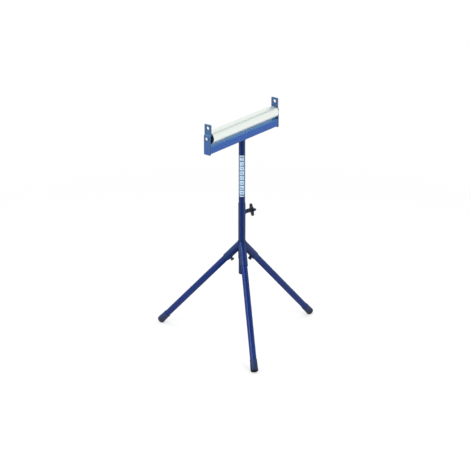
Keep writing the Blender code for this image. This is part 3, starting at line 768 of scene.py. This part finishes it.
scale_form = bmesh.new()
bmesh.ops.create_grid(scale_form, x_segments=STRIP_STEPS, y_segments=1, size=0.5)
for vert in scale_form.verts:
    flat = Vector((vert.co.x * 2 * SCALE_HALF_ANGLE * VINYL_RADIUS,
                   SCALE_MIDDLE + vert.co.y * SCALE_HEIGHT, 0))
    vert.co = wrapped(flat, VINYL_RADIUS)
for face in scale_form.faces:
    face.smooth = True
height_scale = shaped("height_scale", scale_form)
vinyl, tree, place = new_material("printed_vinyl")
from_middle = calc(tree, "SUBTRACT", axis_of(tree, place, "Z"), SCALE_MIDDLE)
from_middle = calc(tree, "DIVIDE", calc(tree, "ABSOLUTE", from_middle), SCALE_HEIGHT / 2)
end_bands = add_node(tree, "ShaderNodeValToRGB", {0: from_middle})
ramp = end_bands.node.color_ramp
ramp.interpolation = "CONSTANT"
ramp.elements[0].color = PALE_VINYL
ramp.elements[-1].color = WHITE_VINYL
for spot, shade in ((INK_BAND_START, SLATE_INK), (WHITE_BAND_START, WHITE_VINYL)):
    ramp.elements.new(spot).color = shade
front = dot(tree, place, (cos(SCALE_FACING), sin(SCALE_FACING), 0))
# Beyond the pale field the strip's sides turn slate: partly a printed border, partly painted shade
# where the tube turns away from the light.
side_border_and_shade = remap(tree, front, VINYL_RADIUS * cos(FIELD_HALF_ANGLE + BORDER_ANGLE),
                    VINYL_RADIUS * cos(FIELD_HALF_ANGLE), 1.0, 0.0)
fade = noise(tree, place, scale=120.0, detail=3.0)
fade = remap(tree, fade, 0.0, 1.0, LEAST_INK, 1.0)
printed = mixed(tree, side_border_and_shade, end_bands, BORDER_INK_AND_SHADE)
matt = remap(tree, fade, LEAST_INK, 1.0, *VINYL_ROUGHNESS)
close_material(tree, add_node(tree, "ShaderNodeBsdfPrincipled",
                              {"Base Color": mixed(tree, fade, FADED_VINYL, printed),
                               "Roughness": matt}))
height_scale.data.materials.append(vinyl)
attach(height_scale, "head")

scale_ink, tree, place = new_material("scale_ink")
ink = mixed(tree, noise(tree, place, scale=700.0, detail=3.0),
            (0.02, 0.06, 0.15, 1), (0.04, 0.10, 0.21, 1))
close_material(tree, add_node(tree, "ShaderNodeBsdfPrincipled", {"Base Color": ink,
                                                                 "Roughness": 0.45}))

scale_lines, given = new_group(
    "scale_lines",
    (("Radius", "Float", PRINT_RADIUS), ("Start Angle", "Float", 0.0),
     ("Sweep Angle", "Float", 1.0), ("Line Width", "Float", 0.001), ("Count", "Int", 9),
     ("First Height", "Float", 0.6), ("Spacing", "Float", 0.02), ("Finish", "Material")),
    "GeometryNodeTree")
arc = add_node(scale_lines, "GeometryNodeCurveArc",
               {"Resolution": 20, "Radius": given["Radius"], "Start Angle": given["Start Angle"],
                "Sweep Angle": given["Sweep Angle"]}, mode="RADIUS")
arc = add_node(scale_lines, "GeometryNodeSetCurveNormal", {"Curve": arc}, mode="Z_UP")
first, pitch = (add_node(scale_lines, "ShaderNodeCombineXYZ", {"Z": given[name]})
                for name in ("First Height", "Spacing"))
rungs = add_node(scale_lines, "GeometryNodeMeshLine",
                 {"Count": given["Count"], "Start Location": first, "Offset": pitch})
profile = add_node(scale_lines, "GeometryNodeCurvePrimitiveQuadrilateral",
                   {"Width": PRINT_THICKNESS, "Height": given["Line Width"]})
band = add_node(scale_lines, "GeometryNodeCurveToMesh",
                {"Curve": arc, "Profile Curve": profile, "Fill Caps": True})
copies = add_node(scale_lines, "GeometryNodeInstanceOnPoints", {"Points": rungs,
                                                                "Instance": band})
close_growth(scale_lines, "Lines", copies, given["Finish"])
for name, sweep, width, count, spacing in (
        ("centimetre_lines", 2 * FIELD_HALF_ANGLE, 0.0040, len(READINGS), 0.02),
        ("half_centimetre_ticks", radians(9), 0.0006, 31, 0.005)):
    lines = grown(name, bpy.data.meshes.new("blank"), scale_lines,
                  {"Radius": PRINT_RADIUS, "Start Angle": SCALE_FACING - FIELD_HALF_ANGLE,
                   "Sweep Angle": sweep, "Line Width": width, "Count": count,
                   "First Height": READING_AT_FLOOR - READINGS[-1] / 100, "Spacing": spacing,
                   "Finish": scale_ink}, "head")

NUMBER_SIZE = 0.0115
NUMBER_ABOVE_LINE = 0.0058
NUMBER_CUT = 0.0006
CUTS_A_SIDE = 12
number_form = bmesh.new()
for reading in READINGS:
    drawing = bpy.data.curves.new(f"number_{reading}", "FONT")
    drawing.body = str(reading)
    drawing.size = NUMBER_SIZE
    drawing.align_x = "CENTER"
    drawn_number = put_in_scene(f"number_{reading}", drawing)
    view = bpy.context.evaluated_depsgraph_get()
    flat_number = bpy.data.meshes.new_from_object(drawn_number.evaluated_get(view))
    bpy.data.objects.remove(drawn_number)
    one = bmesh.new()
    one.from_mesh(flat_number)
    for cut in range(-CUTS_A_SIDE, CUTS_A_SIDE + 1):
        bmesh.ops.bisect_plane(one, geom=one.verts[:] + one.edges[:] + one.faces[:],
                               plane_co=(cut * NUMBER_CUT, 0, 0), plane_no=(1, 0, 0))
    lift = READING_AT_FLOOR - reading / 100 + NUMBER_ABOVE_LINE
    for vert in one.verts:
        vert.co = wrapped(Vector((vert.co.x, vert.co.y + lift, 0)), PRINT_RADIUS)
    one.to_mesh(flat_number)
    one.free()
    number_form.from_mesh(flat_number)
scale_numbers = shaped("scale_numbers", number_form)
scale_numbers.data.materials.clear()
scale_numbers.data.materials.append(scale_ink)
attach(scale_numbers, "head")

# The cross beam is square steel tube, welded on top of the mast, with a stepped flat bar
# welded over each end. The head is enamelled after welding. On its enamel a painted
# highlight pales every upward face, painted shade darkens the plates' front and back
# faces, and a painted reflection greys the plates, most on their tabs.
SEAT_REACH = 0.2120
PLATE_REACH = 0.2080
PAINTED_REFLECTION_LOW = 0.84
PAINTED_REFLECTION_HIGH = 0.93
# Painted highlight: upward faces are mixed towards this paler blue.
PAINTED_HIGHLIGHT_TONE = (0.09, 0.31, 0.62, 1)
# Painted shade: the plates' front and back faces are darkened to this navy.
PAINTED_SEAM_SHADE_TONE = (0.004, 0.030, 0.135, 1)
# Painted reflection: the plates grey towards this tone near their tabs.
PAINTED_REFLECTION_TONE = (0.058, 0.122, 0.190, 1)
PAINTED_HIGHLIGHT_FACING = (0.2, 0.9)
PAINTED_HIGHLIGHT_SHARE = 0.9
SEAM_SHADE_FACING = 0.9
REFLECTION_PATCH_ENDS = (0.3, 0.6)
REFLECTION_PATCH_SHARES = (0.7, 1.0)
PAINTED_REFLECTION_SHARES = (0.4, 0.78)
head_enamel, tree, place = new_material("head_enamel")
facing = add_node(tree, "ShaderNodeTexCoord", out="Normal")
film = place_group(tree, sprayed_film, {"Vector": place, "Thick Tone": (0.014, 0.080, 0.340, 1),
                                        "Thin Tone": (0.024, 0.102, 0.400, 1),
                                        "Gloss Low": 0.24, "Gloss High": 0.33})
edges = place_group(tree, rubbed_edges, {"Vector": place, "Amount": 0.4})
# Painted highlight: surfaces that face upward are mixed towards a paler blue, for light falling
# from above.
painted_highlight = remap(tree, axis_of(tree, facing, "Z"), *PAINTED_HIGHLIGHT_FACING, 0.0, PAINTED_HIGHLIGHT_SHARE)
paler = mixed(tree, painted_highlight, film["Color"], PAINTED_HIGHLIGHT_TONE)
sideways = calc(tree, "ABSOLUTE", axis_of(tree, place, "X"))
on_plate = calc(tree, "GREATER_THAN", sideways, SEAT_REACH)
# Painted shade: plate faces that look front or back are darkened, for the shade in the seam where
# plate meets beam.
front_back_facing = calc(tree, "ABSOLUTE", axis_of(tree, facing, "Y"))
painted_seam_shade = product(tree, on_plate, calc(tree, "GREATER_THAN", front_back_facing, SEAM_SHADE_FACING))
# Painted reflection: the plates grey towards their tabs, broken into patches, for the room
# reflected there.
reflection_patches = remap(tree, noise(tree, place, scale=90.0, detail=4.0), *REFLECTION_PATCH_ENDS, *REFLECTION_PATCH_SHARES)
painted_reflection = remap(tree, axis_of(tree, place, "Z"), PAINTED_REFLECTION_LOW, PAINTED_REFLECTION_HIGH,
                *PAINTED_REFLECTION_SHARES)
painted_reflection = product(tree, painted_reflection, calc(tree, "GREATER_THAN", sideways, PLATE_REACH), reflection_patches)
with_painted_reflection = mixed(tree, painted_reflection, mixed(tree, painted_seam_shade, paler, PAINTED_SEAM_SHADE_TONE), PAINTED_REFLECTION_TONE)
close_enamel(tree, mixed(tree, edges["Mask"], with_painted_reflection, PRIMER_GREY), film, ENAMEL_SPECULAR,
             edges["Soft Normal"])
finish_nodes(head_enamel, "beam", "end_plate_left", "end_plate_right")
BEAM_TOP = 0.8628
BEAM_BOTTOM = 0.8328
BEAM_END = 0.2119
BEAM_WELD_REACH = 0.0115
beam_paths = [([Vector((side * BEAM_END, reach * BEAM_WELD_REACH, level))
                for reach in (-1, 0, 1)], False)
              for side in (-1, 1) for level in (BEAM_TOP, BEAM_BOTTOM)]
beam_welds = welded("beam_welds", beam_paths, radius=0.0015, length=0.0016, depth=0.13,
                    seed=23.0, finish=head_enamel, body="head")

# The roller is a thin steel tube, bright zinc plated, on a steel axle. Moulded navy
# flanges close its ends and hold the ball bearings.
AXLE_HEIGHT = 0.8938
roller_zinc = turned_metal("roller_zinc", (0.91, 0.935, 0.905, 1), (0.86, 0.92, 0.89, 1),
                           centre=(0, 0, AXLE_HEIGHT), axis=(1, 0, 0), roughness=(0.32, 0.40),
                           strength=0.06, edge_width=0.0017, line_scale=1800.0)
axle_steel = turned_metal("axle_steel", (0.86, 0.90, 0.95, 1), (0.72, 0.77, 0.84, 1),
                          centre=(0, 0, AXLE_HEIGHT), axis=(1, 0, 0), roughness=(0.2, 0.32),
                          strength=0.15, edge_width=0.0004)
cap_plastic = moulded(*new_material("cap_plastic"), (0.004, 0.012, 0.050, 1),
                      (0.009, 0.022, 0.080, 1), sheen=(0.32, 0.45), grain_scale=2200.0,
                      strength=0.12, edge_amount=0.4, dust_amount=0.0)
finish_nodes(roller_zinc, "roller_tube")
finish_nodes(axle_steel, "axle", "bearing_left", "bearing_right")
finish_nodes(cap_plastic, "roller_cap_left", "roller_cap_right")
